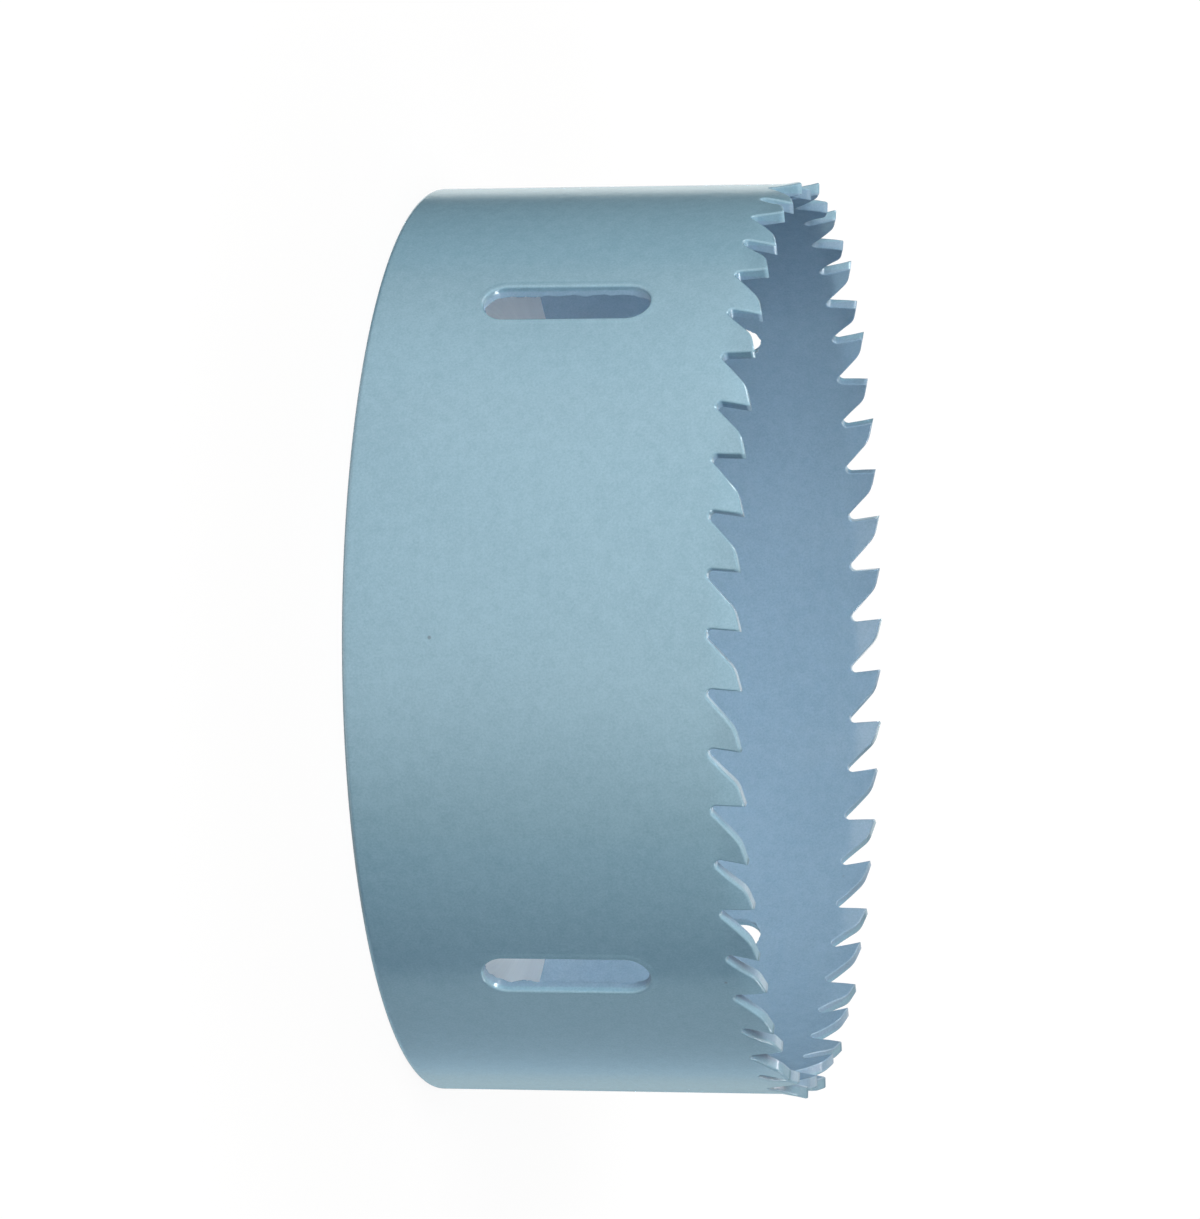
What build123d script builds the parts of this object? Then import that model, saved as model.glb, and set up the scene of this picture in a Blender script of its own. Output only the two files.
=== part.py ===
from build123d import *
import math
import os

os.makedirs("parts", exist_ok=True)

# Hole saw for a drill, in millimetres. The cup stands on its back plate with its teeth up.
# The origin is the centre of the plate's outer face, and +Z runs along the axis to the teeth.

# Wall: a toothed steel strip, rolled into a ring and butt-welded
body_diameter = 103.9
wall_thickness = 1.4
overall_height = 43.3
back_edge_radius = 0.7
seam_azimuth = -45.5

# Teeth: cut across the strip, then bent in and out in turn
tooth_count = 51
tooth_set = 0.55
rake_angle = 6.0
relief_angle = 13.6
relief_length = 2.56
back_slope_angle = 42.0
gullet_radius = 0.6
bend_rise = 0.25
root_overlap = 0.5

# Slots for knocking the slug out
slot_count = 4
slot_length = 18.6
slot_width = 5.2
slot_height = 21.6

# Back plate: a steel disc inside the ring, welded round its edge
plate_thickness = 5.0
weld_groove = 0.3

# Arbor thread, a 5/8 inch fine thread, and the holes for the arbor's drive pins
thread_root_radius = 7.98
thread_chamfer = 0.7
pin_diameter = 6.35
pin_clearance = 0.2
pin_hole_count = 4
pin_circle_diameter = 28.0
pin_hole_chamfer = 0.3

# How far a cutting shape runs past the faces that it cuts
cut_margin = 3.0

body_radius = body_diameter / 2
inner_radius = body_radius - wall_thickness
pitch = math.pi * body_diameter / tooth_count
pitch_angle = 360 / tooth_count
rake_slope = math.tan(math.radians(rake_angle))
relief_slope = math.tan(math.radians(relief_angle))
back_slope = math.tan(math.radians(back_slope_angle))

# A gullet in the plane of the strip. x runs the way the teeth cut, from the tip behind the
# gullet, and depth is measured down from the line of the tips.
knee_x = pitch - relief_length
knee_depth = relief_length * relief_slope
corner_depth = (knee_x + knee_depth / back_slope) / (1 / back_slope - rake_slope)
corner_x = -corner_depth * rake_slope
gullet_half_angle = math.radians(90 - rake_angle - back_slope_angle) / 2
bisector = math.radians(back_slope_angle) + gullet_half_angle
corner_to_centre = gullet_radius / math.sin(gullet_half_angle)
gullet_x = corner_x + corner_to_centre * math.cos(bisector)
gullet_depth = corner_depth - corner_to_centre * math.sin(bisector) + gullet_radius

# The teeth bend a little above the bottom of the gullets, where they are already apart
gullet_lead_angle = math.degrees(gullet_x / body_radius)
gullet_height = overall_height - gullet_depth
bend_height = gullet_height + bend_rise
root_height = gullet_height - root_overlap


def radial_plane(azimuth, radius):
    """A plane that faces outward at an azimuth: its x runs round the ring, its y runs up."""
    outward = Vector(1, 0, 0).rotate(Axis.Z, azimuth)
    return Plane(origin=outward * radius, x_dir=Vector(0, 0, 1).cross(outward), z_dir=outward)


def set_tooth(bend):
    """One tooth from gullet to gullet, starting at azimuth 0, with its tip bent by bend."""
    with BuildPart() as tooth:
        with BuildSketch(Plane.XZ):
            with BuildLine():
                Polyline(
                    (inner_radius, root_height),
                    (body_radius, root_height),
                    (body_radius, bend_height),
                    (body_radius + bend, overall_height),
                    (inner_radius + bend, overall_height),
                    (inner_radius, bend_height),
                    close=True,
                )
            make_face()
        revolve(axis=Axis.Z, revolution_arc=pitch_angle)
        for tip_azimuth in (-gullet_lead_angle, pitch_angle - gullet_lead_angle):
            middle = tip_azimuth + pitch_angle / 2
            with BuildSketch(radial_plane(middle, inner_radius - cut_margin)) as gullet:
                top = overall_height + cut_margin
                with BuildLine():
                    Polyline(
                        (cut_margin * rake_slope - pitch / 2, top),
                        (corner_x - pitch / 2, overall_height - corner_depth),
                        (knee_x - pitch / 2, overall_height - knee_depth),
                        (pitch / 2 + cut_margin, overall_height + cut_margin * relief_slope),
                        (pitch / 2 + cut_margin, top),
                        close=True,
                    )
                make_face()
                fillet(gullet.vertices().sort_by(Axis.Y)[0], gullet_radius)
            extrude(amount=wall_thickness + 2 * cut_margin, mode=Mode.SUBTRACT)
    return tooth.part


# Ring: the strip with its rounded back edge, a tooth for each pitch, and the slots.
# The teeth alternate from the weld seam on, so the two teeth beside the seam are bent alike.
tooth_in = set_tooth(-tooth_set)
tooth_out = set_tooth(tooth_set)
teeth = [tooth_out if index % 2 else tooth_in for index in range(tooth_count)]

with BuildPart() as toothed_wall:
    with BuildSketch(Plane.XZ) as strip:
        with BuildLine():
            Polyline(
                (inner_radius, weld_groove),
                (inner_radius + weld_groove, 0),
                (body_radius, 0),
                (body_radius, root_height),
                (inner_radius, root_height),
                close=True,
            )
        make_face()
        fillet(strip.vertices().group_by(Axis.Y)[0].sort_by(Axis.X)[-1], back_edge_radius)
    revolve(axis=Axis.Z)
    add([tooth.rotate(Axis.Z, seam_azimuth + index * pitch_angle) for index, tooth in enumerate(teeth)])
    for index in range(slot_count):
        with BuildSketch(radial_plane(index * 360 / slot_count, inner_radius - cut_margin)):
            with Locations((0, slot_height)):
                SlotOverall(slot_length, slot_width, rotation=90)
        extrude(amount=wall_thickness + 2 * cut_margin, mode=Mode.SUBTRACT)
toothed_wall.part.label = "toothed_wall"
export_step(toothed_wall.part, "parts/toothed_wall.step")

# Back plate: the disc that carries the ring, with the arbor's thread and the drive-pin holes
pin_hole_radius = pin_diameter / 2 + pin_clearance

with BuildPart() as back_plate:
    with BuildSketch(Plane.XY):
        Circle(inner_radius)
        Circle(thread_root_radius, mode=Mode.SUBTRACT)
        with PolarLocations(pin_circle_diameter / 2, pin_hole_count, start_angle=45):
            Circle(pin_hole_radius, mode=Mode.SUBTRACT)
    extrude(amount=plate_thickness)
    rims = back_plate.edges().filter_by(GeomType.CIRCLE)
    chamfer(rims.filter_by(lambda rim: abs(rim.radius - thread_root_radius) < 0.01), thread_chamfer)
    chamfer(rims.filter_by(lambda rim: abs(rim.radius - pin_hole_radius) < 0.01), pin_hole_chamfer)
    chamfer(rims.filter_by(lambda rim: rim.radius > inner_radius - 0.01).sort_by(Axis.Z)[0], weld_groove)
back_plate.part.label = "back_plate"
export_step(back_plate.part, "parts/back_plate.step")
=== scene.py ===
import math

import bpy
from mathutils import Matrix, Vector, noise
from mathutils.geometry import delaunay_2d_cdt


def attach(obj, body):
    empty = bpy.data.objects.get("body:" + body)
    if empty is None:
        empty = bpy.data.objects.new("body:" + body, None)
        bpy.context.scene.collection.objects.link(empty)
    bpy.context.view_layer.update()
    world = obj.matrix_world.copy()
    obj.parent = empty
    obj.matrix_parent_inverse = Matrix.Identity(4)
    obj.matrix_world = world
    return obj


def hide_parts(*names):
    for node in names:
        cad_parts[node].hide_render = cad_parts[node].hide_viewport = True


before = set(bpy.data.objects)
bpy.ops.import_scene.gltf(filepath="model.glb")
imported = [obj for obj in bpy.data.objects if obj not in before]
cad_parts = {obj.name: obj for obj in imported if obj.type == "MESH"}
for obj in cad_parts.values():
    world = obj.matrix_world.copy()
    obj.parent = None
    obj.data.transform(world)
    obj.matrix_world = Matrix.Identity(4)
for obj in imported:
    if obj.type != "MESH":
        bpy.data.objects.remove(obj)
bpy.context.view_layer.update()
mm = 0.001

# Toothed wall: a strip of spring steel with a high-speed-steel edge already welded to it, cut into
# teeth and slots while flat, its teeth set in and out in turn, then rolled into a ring and
# butt-welded. Everything is under one coat of satin paint, which rounds every edge a little.
body_radius = 51.95 * mm
wall_thickness = 1.4 * mm
inner_radius = body_radius - wall_thickness
overall_height = 43.3 * mm
seam_azimuth = math.radians(-45.5)

tooth_count = 51
tooth_set = 0.55 * mm
rake_angle = math.radians(6.0)
relief_angle = math.radians(13.6)
relief_length = 2.56 * mm
back_slope_angle = math.radians(42.0)
gullet_radius = 0.6 * mm
knee_radius = 3.4 * mm
bend_blend = 2.0 * mm
seam_nick = 0.12 * mm
seam_nick_reach = 0.8 * mm
strip_length = 2 * math.pi * body_radius
pitch = strip_length / tooth_count

slot_length = 18.6 * mm
slot_width = 5.2 * mm
slot_height = 21.6 * mm
slot_azimuths = [math.radians(angle) for angle in (0, 90, 180, 270)]

# Edges, as the paint rounds them. A slot has a swollen rim outside and a torn burr inside, whose
# tears are waves to the metre, and are clean for the first share of the wall's thickness.
tooth_outer_radius = 0.26 * mm
tooth_inner_radius = 0.16 * mm
slot_lip_radius = 0.27 * mm
slot_inner_radius = 0.13 * mm
slot_rim_width = 0.95 * mm
slot_rim_height = 0.05 * mm
slot_burr = 0.1 * mm
slot_roughness = 0.42 * mm
clean_cut_share = 0.35
tear_waves = 700
fine_tear_waves = 2600
fine_tear_share = 0.8
fine_tear_level = 0.007
back_outer_radius = 0.7 * mm
back_inner_chamfer = 0.3 * mm
back_chamfer_start = 0.05 * mm

# How finely the edges and the faces are divided. Points are one where they share a cell of the grid,
# of which there are this many to the metre.
rake_points = 3
rake_step = 0.6 * mm
gullet_rake_steps = 8
gullet_slope_steps = 4
slope_shares = (0.25, 0.5, 0.75)
knee_steps = 6
slot_end_steps = 28
slot_side_steps = 60
column_count = 6 * tooth_count
grid = 1e7

# A gullet's corner, circle and lowest point, seen in the flat strip from the tip behind it
knee = Vector((pitch - relief_length, -relief_length * math.tan(relief_angle)))
corner_depth = (knee.x - knee.y / math.tan(back_slope_angle)) / (
    1 / math.tan(back_slope_angle) - math.tan(rake_angle)
)
gullet_corner = Vector((-corner_depth * math.tan(rake_angle), -corner_depth))
gullet_half_angle = (math.pi / 2 - rake_angle - back_slope_angle) / 2
bisector = back_slope_angle + gullet_half_angle
gullet_centre = gullet_corner + gullet_radius / math.sin(gullet_half_angle) * Vector(
    (math.cos(bisector), math.sin(bisector))
)
gullet_height = overall_height + gullet_centre.y - gullet_radius


def outline_point(position, toward_gap, before=None):
    """A point of a cut edge: its place, the way out of the steel, and how far a mitred inset moves it."""
    stretch = 1 / toward_gap.dot(before) if before else 1
    return Vector(position), Vector(toward_gap), stretch


def tooth_outline():
    """The cut edge from the tip behind a gullet to the next tip, in the flat strip."""
    rake_out = Vector((math.cos(rake_angle), -math.sin(rake_angle)))
    rake_up = Vector((math.sin(rake_angle), math.cos(rake_angle)))
    relief_out = Vector((-math.sin(relief_angle), math.cos(relief_angle)))
    relief_up = Vector((math.cos(relief_angle), math.sin(relief_angle)))
    tip_out = (rake_out + relief_out).normalized()
    points = [outline_point((0, 0), tip_out, rake_out)]
    for step in range(1, rake_points):
        points.append(outline_point(-step * rake_step * rake_up, rake_out))
    start = math.pi - rake_angle
    lowest = 1.5 * math.pi
    end = 1.5 * math.pi + back_slope_angle
    angles = [start + (lowest - start) * step / gullet_rake_steps for step in range(gullet_rake_steps)]
    for step in range(gullet_slope_steps + 1):
        angles.append(lowest + (end - lowest) * step / gullet_slope_steps)
    for angle in angles:
        out = -Vector((math.cos(angle), math.sin(angle)))
        points.append(outline_point(gullet_centre - gullet_radius * out, out))
    slope_out = Vector((-math.sin(back_slope_angle), math.cos(back_slope_angle)))
    turn = back_slope_angle - relief_angle
    slope_up = Vector((math.cos(back_slope_angle), math.sin(back_slope_angle)))
    slope_start = points[-1][0]
    slope_end = knee - knee_radius * math.tan(turn / 2) * slope_up
    for share in slope_shares:
        points.append(outline_point(slope_start.lerp(slope_end, share), slope_out))
    for step in range(knee_steps + 1):
        angle = back_slope_angle - turn * step / knee_steps
        out = Vector((-math.sin(angle), math.cos(angle)))
        points.append(outline_point(slope_end - knee_radius * slope_out + knee_radius * out, out))
    relief_start = points[-1][0]
    relief_end = Vector((pitch, 0)) - rake_step * relief_up
    points.append(outline_point(relief_start.lerp(relief_end, 0.5), relief_out))
    points.append(outline_point(relief_end, relief_out))
    return points


def slot_outline(centre):
    """The cut edge round a slot with full round ends."""
    end_radius = slot_width / 2
    half = slot_length / 2 - end_radius
    points = []
    for middle, first in ((half, 0), (-half, math.pi)):
        for step in range(slot_end_steps + 1):
            angle = first + math.pi * step / slot_end_steps
            out = -Vector((math.cos(angle), math.sin(angle)))
            points.append(outline_point(centre + Vector((0, middle)) - end_radius * out, out))
        arc_end, side = points[-1][:2]
        for step in range(1, slot_side_steps):
            run = Vector((0, -2 * middle * step / slot_side_steps))
            points.append(outline_point(arc_end + run, side))
    return points


def inside(place, loop):
    """Whether a place on the flat strip lies inside a closed loop."""
    crossings = 0
    for here, there in zip(loop, loop[1:] + loop[:1]):
        if (here.y > place.y) != (there.y > place.y):
            across = here.x + (place.y - here.y) / (there.y - here.y) * (there.x - here.x)
            crossings += across > place.x
    return crossings % 2 == 1


def mesh_piece(name, points, faces):
    """A smooth mesh from its points and faces, as an object in the scene."""
    mesh = bpy.data.meshes.new(name)
    mesh.from_pydata(points, [], faces)
    mesh.polygons.foreach_set("use_smooth", [True] * len(mesh.polygons))
    made = bpy.data.objects.new(name, mesh)
    bpy.context.scene.collection.objects.link(made)
    return made


class RolledStrip:
    """A mesh that is drawn on the flat strip and rolled into the ring as its points are made."""

    def __init__(self):
        self.places = {}
        self.points = []
        self.normals = []
        self.faces = []

    def vertex(self, u, z, depth, normal):
        """A point at u along the strip, z up and depth under the outer face. The normal is (u, z, out)."""
        u = u % strip_length
        if strip_length - u < 1 / grid:
            u = 0
        key = (round(u * grid), round(z * grid), round(depth * grid))
        if key in self.places:
            return self.places[key]
        above = max(0, z - gullet_height)
        if above < bend_blend:
            bend, slope = above * above / (2 * bend_blend), above / bend_blend
        else:
            bend, slope = above - bend_blend / 2, 1
        side = 1 if int(u // pitch) % 2 else -1
        rate = side * tooth_set / (overall_height - gullet_height - bend_blend / 2)
        lean = math.atan(rate * slope)
        radius = body_radius - depth + rate * bend
        azimuth = seam_azimuth + u / body_radius
        outward = Vector((math.cos(azimuth), math.sin(azimuth), 0))
        along = Vector((-math.sin(azimuth), math.cos(azimuth), 0))
        out = normal[2] * math.cos(lean) + normal[1] * math.sin(lean)
        up = normal[1] * math.cos(lean) - normal[2] * math.sin(lean)
        self.places[key] = len(self.points)
        self.points.append(radius * outward + Vector((0, 0, z)))
        self.normals.append((normal[0] * along + out * outward + Vector((0, 0, up))).normalized())
        return self.places[key]

    def edge(self, outline, profile, closed, rough=0.0):
        """Rolls a cut edge's profile along an outline that has the gap on its left. The profile is (inset,
        depth, turn), with the turn going from 0, facing out, through 90, facing the gap, to 180. It gives
        back the two lines where the edge meets the outer and the inner face."""
        rows = []
        rims = ([], [])
        for position, gap, stretch in outline:
            place = Vector((position.x, position.y, 0))
            fine_place = Vector((position.x, position.y, fine_tear_level))
            ragged = noise.noise(place * tear_waves)
            ragged += fine_tear_share * noise.noise(fine_place * fine_tear_waves)
            row = []
            for inset, depth, turn in profile:
                torn = max(0, depth / wall_thickness - clean_cut_share)
                spot = position + (rough * ragged * torn - inset * stretch) * gap
                flat = math.sin(math.radians(turn))
                face = math.cos(math.radians(turn))
                row.append(self.vertex(spot.x, spot.y, depth, (gap.x * flat, gap.y * flat, face)))
                if (inset, depth, turn) in (profile[0], profile[-1]):
                    rims[0 if depth == 0 else 1].append(spot)
            rows.append(row)
        pairs = zip(rows, rows[1:] + rows[:1]) if closed else zip(rows, rows[1:])
        for here, there in pairs:
            for step in range(len(profile) - 1):
                quad = (here[step], there[step], there[step + 1], here[step + 1])
                if len(set(quad)) == 4:
                    self.faces.append(quad)
        return rims

    def face(self, depth, back, outline, holes, rows):
        """Fills the outer or the inner face between the back edge, the teeth's edge and the slots."""
        out = 1 if depth == 0 else -1
        columns = [strip_length * step / column_count for step in range(column_count + 1)]
        edge_clear = 0.4 * mm
        slope_clear = 1.6 * edge_clear
        back_clear = 0.2 * mm
        seam_top = gullet_height - 0.5 * mm
        teeth_start = gullet_height - 0.6 * mm
        seam_rows = [z for z in rows if back < z < seam_top]
        border = [(u, back) for u in columns]
        border += [(strip_length, z) for z in seam_rows]
        border += [(spot.x, spot.y) for spot in reversed(outline)]
        border += [(0, z) for z in reversed(seam_rows)]
        points = list(border)
        edges = [(step, (step + 1) % len(border)) for step in range(len(border))]
        for hole in holes:
            first = len(points)
            points += [(spot.x, spot.y) for spot in hole]
            edges += [(first + step, first + (step + 1) % len(hole)) for step in range(len(hole))]
        slot_half = slot_length / 2 - slot_width / 2
        slot_reach = slot_width / 2 + slot_rim_width + edge_clear
        for u in columns[1:-1]:
            tip = (math.floor(u / pitch) + 1) * pitch - gullet_centre.x
            for z in rows:
                if z <= back + back_clear:
                    continue
                if z > teeth_start:
                    rake = tip + (z - overall_height) * math.tan(rake_angle)
                    slope = tip - pitch + gullet_corner.x
                    slope += (z - overall_height + corner_depth) / math.tan(back_slope_angle)
                    relief = overall_height - (tip - u) * math.tan(relief_angle)
                    if u > rake - edge_clear or u < slope + slope_clear or z > relief - edge_clear:
                        continue
                past_middle = max(0, abs(z - slot_height) - slot_half)
                if all(math.hypot(u - centre, past_middle) >= slot_reach for centre in slot_places):
                    points.append((u, z))
        inside_border = 1
        _, _, triangles, sources, _, _ = delaunay_2d_cdt(
            [Vector(point) for point in points], edges, [list(range(len(border)))], inside_border, 1 / grid
        )
        corners = [points[source[0]] for source in sources]
        indexes = [self.vertex(u, z, depth, (0, 0, out)) for u, z in corners]
        for triangle in triangles:
            middle = sum((Vector(corners[corner]) for corner in triangle), Vector((0, 0))) / 3
            if any(inside(middle, hole) for hole in holes):
                continue
            face = [indexes[corner] for corner in triangle]
            if len(set(face)) == 3:
                self.faces.append(tuple(face if out == 1 else reversed(face)))

    def finish(self, name):
        """The rolled ring as an object, with the exact normals of its curves."""
        made = mesh_piece(name, self.points, self.faces)
        made.data.normals_split_custom_set_from_vertices(self.normals)
        return made


def rounded_profile(outer, inner, steps):
    """A cut edge across the wall's thickness, with its outer and inner corners rounded."""
    profile = []
    for step in range(steps + 1):
        angle = math.radians(90 * step / steps)
        profile.append((outer * (1 - math.sin(angle)), outer * (1 - math.cos(angle)), 90 * step / steps))
    for step in range(steps + 1):
        angle = math.radians(90 * step / steps)
        sunk = wall_thickness - inner * (1 - math.sin(angle))
        profile.append((inner * (1 - math.cos(angle)), sunk, 90 + 90 * step / steps))
    return profile


# The strip's long cut edge, from the lowest point of the gullet at one end to that at the other,
# with the nick that the butt weld leaves at both ends
one_tooth = tooth_outline()
lowest_step = rake_points + gullet_rake_steps
ring_outline = []
for index in range(tooth_count + 1):
    tip_place = Vector((index * pitch - gullet_centre.x, overall_height))
    ring_outline += [(place + tip_place, gap, stretch) for place, gap, stretch in one_tooth]
last_step = lowest_step + tooth_count * len(one_tooth)
ring_outline = ring_outline[lowest_step : last_step + 1]
for step, (place, gap, stretch) in enumerate(ring_outline):
    off_seam = min(place.x, strip_length - place.x) / seam_nick_reach
    if off_seam < 1:
        swell = seam_nick * (1 - off_seam) * math.cos(2 * math.pi * off_seam)
        ring_outline[step] = (place + swell * gap, gap, stretch)

slot_places = [(azimuth - seam_azimuth) % (2 * math.pi) * body_radius for azimuth in slot_azimuths]
slot_outlines = [slot_outline(Vector((place, slot_height))) for place in slot_places]
back_outline = [
    (Vector((strip_length * step / column_count, 0)), Vector((0, -1)), 1)
    for step in range(column_count + 1)
]
# The faces' own points stand in rows 2 mm apart, and closer where the teeth bend
face_rows = [z * mm for z in range(2, 39, 2)]
face_rows += [gullet_height + step * mm for step in (0, 0.4, 0.8, 1.2, 1.6, 2.1, 2.6, 3.1)]

strip = RolledStrip()
teeth_profile = rounded_profile(tooth_outer_radius, tooth_inner_radius, steps=5)
outer_teeth, inner_teeth = strip.edge(ring_outline, teeth_profile, False)
# A slot's edge from the outside in, as (inset, depth, turn): a low swollen rim of paint, the rounded
# lip, the punch's smooth band, then the torn part, which stands further into the slot
slot_profile = [(slot_rim_width, 0, 0), (0.75 * mm, -0.25 * slot_rim_height, -7)]
slot_profile += [(0.55 * mm, -0.75 * slot_rim_height, -6), (0.42 * mm, -slot_rim_height, 0)]
lip_steps = 6
for inset, depth, turn in rounded_profile(slot_lip_radius, 0, lip_steps)[: lip_steps + 1]:
    slot_profile.append((inset, depth - slot_rim_height, turn))
slot_profile += [(0.02 * mm, 0.34 * mm, 96), (0.05 * mm, 0.62 * mm, 92), (0.04 * mm, 0.74 * mm, 78)]
slot_profile += [(-0.07 * mm, 1.08 * mm, 72), (-slot_burr, wall_thickness - slot_inner_radius, 84)]
burr_steps = 4
for inset, depth, turn in rounded_profile(0, slot_inner_radius, burr_steps)[burr_steps + 2 :]:
    slot_profile.append((inset - slot_burr, depth, turn))
slot_rims = [strip.edge(outline, slot_profile, True, slot_roughness) for outline in slot_outlines]
back_steps = 6
back_profile = rounded_profile(back_outer_radius, 0, back_steps)[: back_steps + 1]
back_profile.append((0, wall_thickness - back_inner_chamfer - back_chamfer_start, 90))
back_profile.append((0, wall_thickness - back_inner_chamfer, 135))
back_profile.append((back_inner_chamfer, wall_thickness, 135))
strip.edge(list(reversed(back_outline)), back_profile, False)
strip.face(0, back_outer_radius, outer_teeth, [rims[0] for rims in slot_rims], face_rows)
strip.face(wall_thickness, back_inner_chamfer, inner_teeth, [rims[1] for rims in slot_rims], face_rows)
wall = strip.finish("toothed_ring")
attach(wall, "root")
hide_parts("toothed_wall")


class Wire:
    """An output in a material's nodes. Arithmetic on it adds Math nodes."""

    def __init__(self, tree, socket=None):
        self.tree = tree
        self.socket = socket

    def node(self, kind, settings, sockets, output=0):
        """Adds a node: its settings, such as an operation, come first, then its sockets' values or links."""
        made = self.tree.nodes.new("ShaderNode" + kind)
        for name, value in settings.items():
            setattr(made, name, value)
        for name, value in sockets.items():
            if isinstance(value, Wire):
                self.tree.links.new(value.socket, made.inputs[name])
            else:
                made.inputs[name].default_value = value
        return Wire(self.tree, made.outputs[output] if made.outputs else None)

    def math(self, operation, *values):
        return self.node("Math", {"operation": operation}, dict(enumerate(values)))

    def __add__(self, other):
        return self.math("ADD", self, other)

    def __radd__(self, other):
        return self.math("ADD", other, self)

    def __sub__(self, other):
        return self.math("SUBTRACT", self, other)

    def __rsub__(self, other):
        return self.math("SUBTRACT", other, self)

    def __mul__(self, other):
        return self.math("MULTIPLY", self, other)

    def __rmul__(self, other):
        return self.math("MULTIPLY", other, self)

    def noise(self, place, scale, detail=2.0, roughness=0.5):
        """Noise from 0 to 1, about 0.5, at scale waves to the metre."""
        sockets = {"Vector": place, "Scale": scale, "Detail": detail, "Roughness": roughness}
        return self.node("TexNoise", {}, sockets)

    def between(self, share, low, high, blend="MIX"):
        """A colour between two, by a share from 0 to 1. A Mix node's sockets 6 and 7 are its colours, and
        output 2 is their mix."""
        settings = {"data_type": "RGBA", "blend_type": blend}
        return self.node("Mix", settings, {0: share, 6: low, 7: high}, 2)

    def smooth_step(self, value, start, end):
        """0 below start, 1 above end, and smooth between them."""
        settings = {"interpolation_type": "SMOOTHSTEP"}
        return self.node("MapRange", settings, {0: value, 1: start, 2: end})

    def from_axis(self, place):
        """How far a place is from the saw's axis."""
        level = self.node("VectorMath", {"operation": "MULTIPLY"}, {0: place, 1: (1, 1, 0)})
        return self.node("VectorMath", {"operation": "LENGTH"}, {0: level}, "Value")


def new_material(name):
    """A material with its nodes cleared, and a wire that adds to it."""
    made = bpy.data.materials.new(name)
    made.use_nodes = True
    made.node_tree.nodes.clear()
    return made, Wire(made.node_tree)


def satin_paint(name, color, dark_color, dust_color):
    """Blue-grey satin paint: faintly mottled, with orange peel, a fine grain and specks of dust. Inside the
    cup the colour carries painted shade, a little darker and more violet, for light bounced between the
    walls."""
    material, nodes = new_material(name)
    place = nodes.node("TexCoord", {}, {}, "Object")
    broad = nodes.noise(place, scale=38.0, detail=3.0)
    mottle = nodes.noise(place, scale=700.0, detail=3.0, roughness=0.6)
    grain = nodes.noise(place, scale=4300.0, roughness=0.7)
    shade = broad + 1.1 * (mottle - 0.5) + 2.2 * (grain - 0.5)
    # Painted shade: the colour on the inner face is darkened and turned violet to stand in for the light
    # bounced inside the cup
    mid_wall = inner_radius + wall_thickness / 2
    outside = nodes.smooth_step(nodes.from_axis(place), mid_wall - 0.1 * mm, mid_wall + 0.1 * mm)
    painted_inside_shade = nodes.between(outside, (0.98, 0.89, 0.94, 1), (1, 1, 1, 1))
    sprayed = nodes.between(shade, dark_color, color)
    clean = nodes.between(1.0, sprayed, painted_inside_shade, "MULTIPLY")
    cells = nodes.node("TexVoronoi", {}, {"Vector": place, "Scale": 150.0}, "Distance")
    sparse = nodes.noise(place, scale=90.0, detail=1.0)
    specks = 1 - nodes.smooth_step(cells, 0.02, 0.04)
    dust = specks * nodes.smooth_step(sparse, 0.58, 0.64)
    base = nodes.between(0.7 * dust, clean, dust_color)
    peel = nodes.noise(place, scale=850.0) + 0.35 * grain + 0.5 * dust
    bump = nodes.node("Bump", {}, {"Strength": 1.0, "Distance": 0.02 * mm, "Height": peel})
    surface = nodes.node(
        "BsdfPrincipled",
        {},
        {
            "Base Color": base,
            "Roughness": 0.2 + 0.06 * (mottle - 0.5) + 0.2 * dust,
            "IOR": 1.5,
            "Normal": bump,
        },
    )
    nodes.node("OutputMaterial", {}, {"Surface": surface})
    return material


paint_color = (0.305, 0.51, 0.65, 1)
dark_paint_color = (0.24, 0.425, 0.552, 1)
dust_color = (0.12, 0.17, 0.22, 1)
paint = satin_paint("blue_grey_satin_paint", paint_color, dark_paint_color, dust_color)
wall.data.materials.append(paint)

# Back plate: a disc of turned steel, pressed into the ring and welded round its edge. It is tapped
# for the arbor in the middle, with a circle of holes for the arbor's drive pins, and is left bright.
plate_thickness = 5.0 * mm
plate_radius = inner_radius


def turned_steel(name, dull_color, bright_color):
    """Bright steel: rings from the lathe on its flat faces, fine scratches and a few dull patches."""
    material, nodes = new_material(name)
    place = nodes.node("TexCoord", {}, {}, "Object")
    ring_place = nodes.node("CombineXYZ", {}, {"X": nodes.from_axis(place)})
    rings = nodes.noise(ring_place, scale=2600.0, detail=3.0, roughness=0.6)
    coarse_rings = nodes.noise(ring_place, scale=420.0)
    patches = nodes.noise(place, scale=60.0, detail=4.0, roughness=0.6)
    scratches = nodes.noise(place, scale=3000.0)
    shade = 0.5 + 0.9 * (rings - 0.5) + 0.7 * (coarse_rings - 0.5) + 0.8 * (patches - 0.5)
    base = nodes.between(shade, dull_color, bright_color)
    height = rings + coarse_rings + 0.3 * scratches
    bump = nodes.node("Bump", {}, {"Strength": 0.7, "Distance": 0.02 * mm, "Height": height})
    surface = nodes.node(
        "BsdfPrincipled",
        {},
        {
            "Base Color": base,
            "Metallic": 0.35,
            "Roughness": 0.4 + 0.12 * (patches - 0.5) + 0.1 * (rings - 0.5),
            "Normal": bump,
        },
    )
    nodes.node("OutputMaterial", {}, {"Surface": surface})
    return material


bright_steel = turned_steel("turned_plate_steel", (0.7, 0.73, 0.73, 1), (0.9, 0.93, 0.92, 1))
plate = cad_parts["back_plate"]
plate.data.materials.clear()
plate.data.materials.append(bright_steel)

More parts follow.
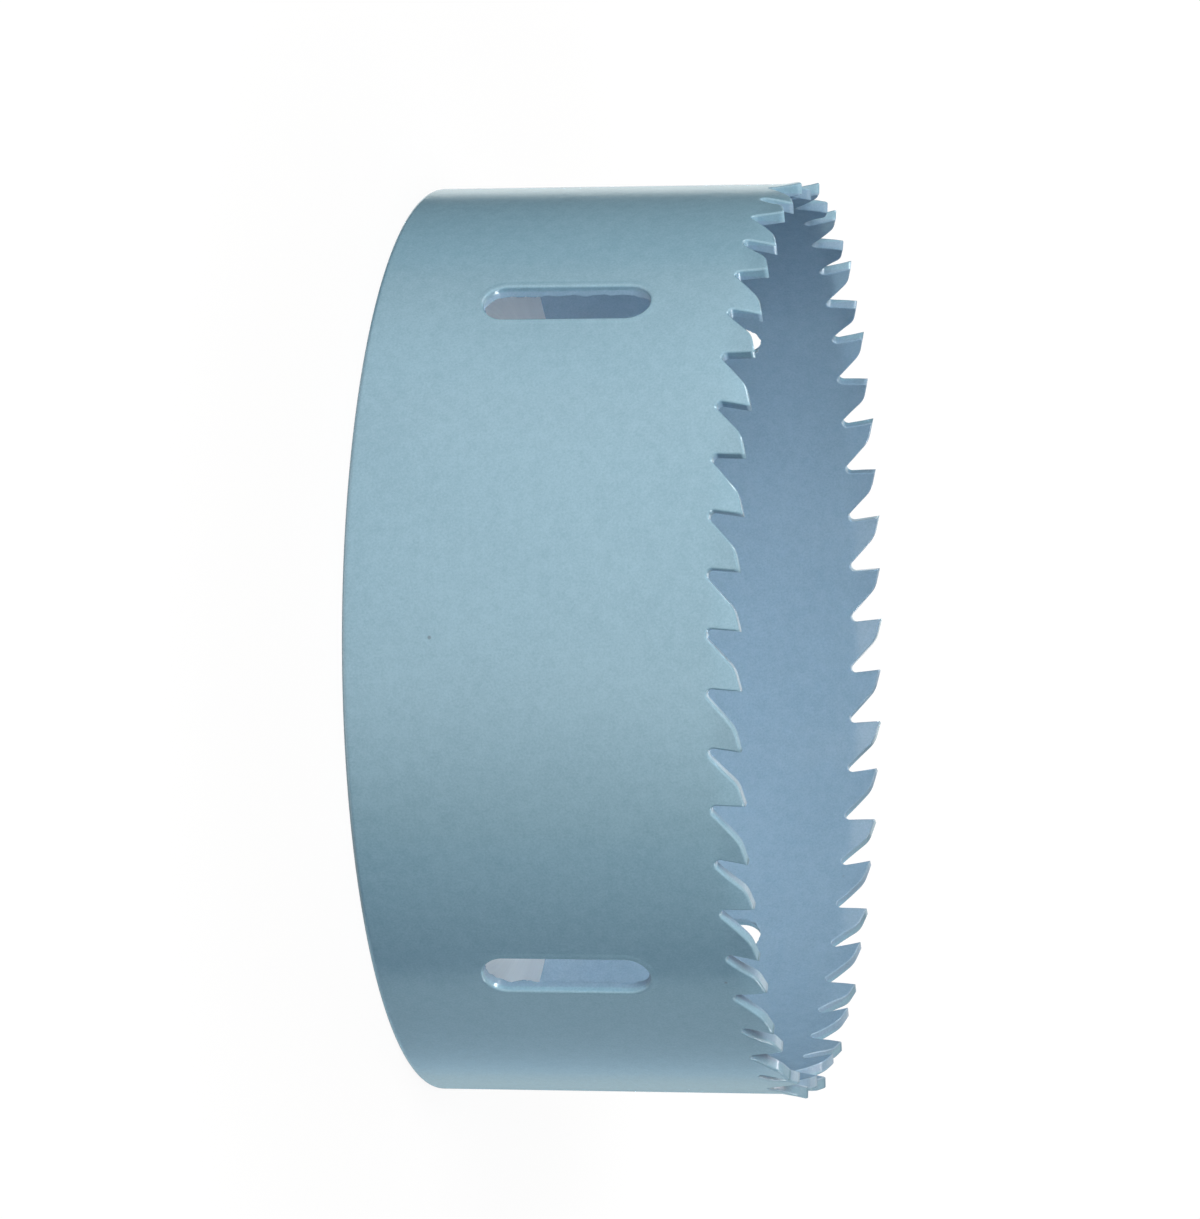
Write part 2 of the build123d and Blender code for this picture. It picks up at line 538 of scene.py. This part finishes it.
# Arbor thread: a 5/8 inch fine thread of 18 turns to the inch, tapped through the middle of the
# plate. The CAD bore is as wide as the thread's root, and this is the ridge that stands in it.
thread_root_radius = 7.98 * mm
thread_crest_radius = 7.26 * mm
thread_root_overlap = 0.05 * mm
thread_pitch = 25.4 / 18 * mm
thread_flank_angle = math.radians(30)
thread_chamfer = 0.7 * mm


def thread_ridge():
    """The thread's ridge in the plate's bore, which runs out in the chamfers at both ends."""
    steps_round = 96
    turns = plate_thickness / thread_pitch + 2
    flat = thread_pitch / 8
    slope = (thread_root_radius - thread_crest_radius) * math.tan(thread_flank_angle)
    reach = thread_root_radius + thread_root_overlap
    profile = [(-flat - slope, 1), (-flat - slope / 2, 0.5), (-flat, 0), (0, 0), (flat, 0)]
    profile += [(flat + slope / 2, 0.5), (flat + slope, 1)]
    points = []
    count = int(turns * steps_round)
    for step in range(count + 1):
        angle = 2 * math.pi * step / steps_round
        middle = thread_pitch * (step / steps_round - 1)
        for rise, share in profile:
            z = min(max(middle + rise, 0), plate_thickness)
            radius = thread_crest_radius + share * (reach - thread_crest_radius)
            cone = thread_root_radius + thread_chamfer - min(z, plate_thickness - z)
            radius = min(max(radius, cone), reach)
            points.append((radius * math.cos(angle), radius * math.sin(angle), z))
    wide = len(profile)
    faces = []
    for step in range(count):
        for across in range(wide - 1):
            first = step * wide + across
            faces.append((first, first + wide, first + wide + 1, first + 1))
    return points, faces


thread = mesh_piece("arbor_thread", *thread_ridge())
thread.data.materials.append(bright_steel)
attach(thread, "root")

# Weld bead: the weld that holds the plate in the ring. It runs right round in the groove between
# them, is rippled, and is ground off flush with the plate's outer face.
weld_groove = 0.3 * mm
weld_least_depth = 0.004
weld_edge_depth = 0.012
weld_crown_depth = 0.02
weld_ripple_depth = 0.05
weld_uneven_depth = 0.06


def weld_surface():
    """The bead's surface: even at the groove's edges, and hollowed a little between them. The depths are
    in millimetres."""
    steps_round = 720
    across = 7
    points = []
    for step in range(steps_round):
        angle = 2 * math.pi * step / steps_round
        ripple = 0.5 + 0.5 * math.cos(3.0 * step)
        for place in range(across):
            share = place / (across - 1)
            radius = plate_radius + (2 * share - 1) * weld_groove
            uneven = noise.noise(Vector((step / 9, share * 2, 0)))
            sunk = weld_crown_depth + weld_ripple_depth * ripple + weld_uneven_depth * uneven
            crown = 1 - (2 * share - 1) ** 2
            z = max(weld_least_depth, sunk * crown + weld_edge_depth) * mm
            points.append((radius * math.cos(angle), radius * math.sin(angle), z))
    faces = []
    for step in range(steps_round):
        for place in range(across - 1):
            first = step * across + place
            second = (step + 1) % steps_round * across + place
            faces.append((first, first + 1, second + 1, second))
    return points, faces


bead = mesh_piece("weld_bead", *weld_surface())
bead.data.materials.append(bright_steel)
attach(bead, "root")

# Camera: turned a quarter, so that the axis runs across the frame as in the photograph. These turns
# and places were fitted to the teeth, the slots and the outline that the photograph shows.
camera_turn = math.radians(-46.434)
camera_yaw = 0.19395
camera_pitch = -0.02895
camera_roll = -0.00536
camera_distance = 12.9228 * body_radius
camera_shift = (-0.34218 * body_radius, -0.06487 * body_radius)
focal_pixels = 5795.3
frame_pixels = 1219
toward_camera = Vector((math.cos(camera_turn), math.sin(camera_turn), 0))
image_up = Vector((math.sin(camera_turn), -math.cos(camera_turn), 0))
axes = Matrix((Vector((0, 0, 1)), image_up, toward_camera)).transposed()
yaw = Matrix.Rotation(camera_yaw, 3, "Y").transposed()
pitch_turn = Matrix.Rotation(camera_pitch, 3, "X")
roll = Matrix.Rotation(camera_roll, 3, "Z")
view_turn = roll @ pitch_turn @ yaw
sensor_width = 36
camera_data = bpy.data.cameras.new("camera")
camera_data.sensor_width = sensor_width
camera_data.lens = focal_pixels * sensor_width / frame_pixels
camera_data.clip_start = 0.01
camera_data.clip_end = 20
camera = bpy.data.objects.new("camera", camera_data)
bpy.context.scene.collection.objects.link(camera)
bpy.context.scene.camera = camera
stand = view_turn.transposed() @ Vector((-camera_shift[0], -camera_shift[1], camera_distance))
facing = (axes @ view_turn.transposed()).to_quaternion()
camera.matrix_world = Matrix.LocRotScale(axes @ stand, facing, None)

# Floor: a pale sheet that the saw stands on, white to the camera but for the saw's own faint shadow.
# It lies just under the plate's face, so that the two are never in one plane.
floor_size = 8.0
floor_drop = 0.02 * mm
floor_grey = (0.42, 0.42, 0.42, 1)
floor_white = (0.85, 0.85, 0.85, 1)
floor_glow = 1.02
glow_share_near = 0.92
glow_share_added_far = 0.08
corners = [
    (x * floor_size / 2, y * floor_size / 2, -floor_drop) for x, y in ((-1, -1), (1, -1), (1, 1), (-1, 1))
]
floor = mesh_piece("floor", corners, [(0, 1, 2, 3)])
floor.visible_glossy = False
floor_material, nodes = new_material("pale_floor")
floor_material.cycles.emission_sampling = "NONE"
camera_ray = nodes.node("LightPath", {}, {}, "Is Camera Ray")
place = nodes.node("TexCoord", {}, {}, "Object")
distance = nodes.node("VectorMath", {"operation": "LENGTH"}, {0: place}, "Value")
far = nodes.smooth_step(distance, 60 * mm, 200 * mm)
sheet = nodes.node("BsdfDiffuse", {}, {"Color": nodes.between(camera_ray, floor_grey, floor_white)})
glow = nodes.node("Emission", {}, {"Color": (1, 1, 1, 1), "Strength": floor_glow})
glow_share = camera_ray * (glow_share_near + glow_share_added_far * far)
shown = nodes.node("MixShader", {}, {0: glow_share, 1: sheet, 2: glow})
nodes.node("OutputMaterial", {}, {"Surface": shown})
floor.data.materials.append(floor_material)


# Lights: softboxes in front, behind and over the teeth light the saw, and cards of several shades
# stand round it. The paint shows the cards only as reflections, which give it its bands.
def studio_place(up_angle, lift, distance):
    """A place round the saw: up_angle degrees from the camera's side towards the top of the frame, lift
    degrees towards the teeth."""
    turn = math.radians(up_angle)
    rise = math.radians(lift)
    level = math.cos(turn) * toward_camera + math.sin(turn) * image_up
    return distance * (math.cos(rise) * level + math.sin(rise) * Vector((0, 0, 1)))


def softbox(name, up_angle, lift, distance, size, power, color):
    """A rectangular area light that faces the middle of the saw and that the camera does not see."""
    light = bpy.data.lights.new(name, "AREA")
    light.shape = "RECTANGLE"
    light.size, light.size_y = size
    light.energy = power
    light.color = color
    made = bpy.data.objects.new(name, light)
    bpy.context.scene.collection.objects.link(made)
    target = Vector((0, 0, overall_height / 2))
    made.location = target + studio_place(up_angle, lift, distance)
    made.rotation_euler = (made.location - target).to_track_quat("Z", "Y").to_euler()
    made.visible_camera = False
    return made


def card(name, angles, strengths, color, lifts=(-50, 40), distance=0.6):
    """A curved card round the saw that only reflections show, graded between two strengths."""
    panels = 12
    wide = panels + 1
    shares = [step / panels for step in range(wide)]
    turns = [angles[0] + (angles[1] - angles[0]) * share for share in shares]
    points = [studio_place(turn, lift, distance) for lift in lifts for turn in turns]
    faces = [(step, step + 1, step + wide + 1, step + wide) for step in range(panels)]
    made = mesh_piece(name, points, faces)
    made.data.attributes.new("share", "FLOAT", "POINT").data.foreach_set("value", shares * 2)
    made.visible_camera = False
    made.visible_diffuse = False
    made.visible_shadow = False
    material, nodes = new_material(name)
    material.cycles.emission_sampling = "NONE"
    share = nodes.node("Attribute", {"attribute_name": "share"}, {}, "Fac")
    strongest = max(strengths)
    ends = [(*(channel * strength / strongest for channel in color), 1) for strength in strengths]
    shade = nodes.between(share, *ends)
    glow = nodes.node("Emission", {}, {"Color": shade, "Strength": strongest})
    nodes.node("OutputMaterial", {}, {"Surface": glow})
    made.data.materials.append(material)


key = softbox("key_softbox", 19, 27, 0.72, (0.4, 0.4), 4.75, (0.98, 0.94, 0.88))
key.visible_glossy = False
back = softbox("back_softbox", 180, 24, 1.1, (0.6, 0.6), 8, (1, 0.97, 0.94))
back.visible_glossy = False
softbox("cup_softbox", 0, 90, 1.2, (0.16, 0.16), 2.2, (1, 0.92, 0.96))

# The front and the upper half, up to the light band along the saw's top edge
card("front_card", (-15, 60), (1.7, 1.7), (1, 0.86, 0.8))
card("upper_graded_card", (60, 100), (1.7, 0.5), (0.9, 0.86, 0.85))
card("upper_blue_card", (100, 145.5), (0.5, 0), (0.4, 0.75, 1))
card("top_card", (145.5, 190), (1.25, 1.25), (0.92, 1, 1))

# The lower half, down to the light along the saw's bottom edge
card("lower_graded_card", (-50, -15), (0, 1.7), (1, 0.86, 0.8))
card("lower_blue_card", (-90, -50), (0.6, 0.3), (0.05, 0.4, 1))
card("low_card", (-140, -90), (1.5, 1.75), (0.68, 1, 1.22))
card("low_edge_card", (-172, -140), (0.3, 1.4), (0.75, 1, 1.1))

# Small bright cards for the glints in the gullets and on the slots' lips, and one for the back rim
card("upper_glint_card", (72, 110), (26, 26), (1, 1, 1), (28, 46), 0.58)
card("lower_glint_card", (-110, -72), (26, 26), (1, 1, 1), (28, 46), 0.58)
card("rim_card", (-70, 70), (3, 3), (1, 1, 1), (-88, -55))

# World: a white backdrop to the camera and in reflections. The saw itself gets only a little light
# from it, which softens the shadows.
world = bpy.data.worlds.new("studio")
bpy.context.scene.world = world
world.use_nodes = True
world.cycles.sampling_method = "NONE"
world.node_tree.nodes.clear()
nodes = Wire(world.node_tree)
white_rays = [nodes.node("LightPath", {}, {}, ray) for ray in ("Is Camera Ray", "Is Glossy Ray")]
white_ray = white_rays[0] + white_rays[1] + nodes.node("LightPath", {}, {}, "Is Transmission Ray")
fill = nodes.node("Background", {}, {"Color": (1, 1, 1, 1), "Strength": 0.02})
white = nodes.node("Background", {}, {"Color": (1, 1, 1, 1), "Strength": 1.0})
backdrop = nodes.node("MixShader", {}, {0: white_ray, 1: fill, 2: white})
nodes.node("OutputWorld", {}, {"Surface": backdrop})

# Finish: the plain colour view
bpy.context.scene.view_settings.view_transform = "Standard"
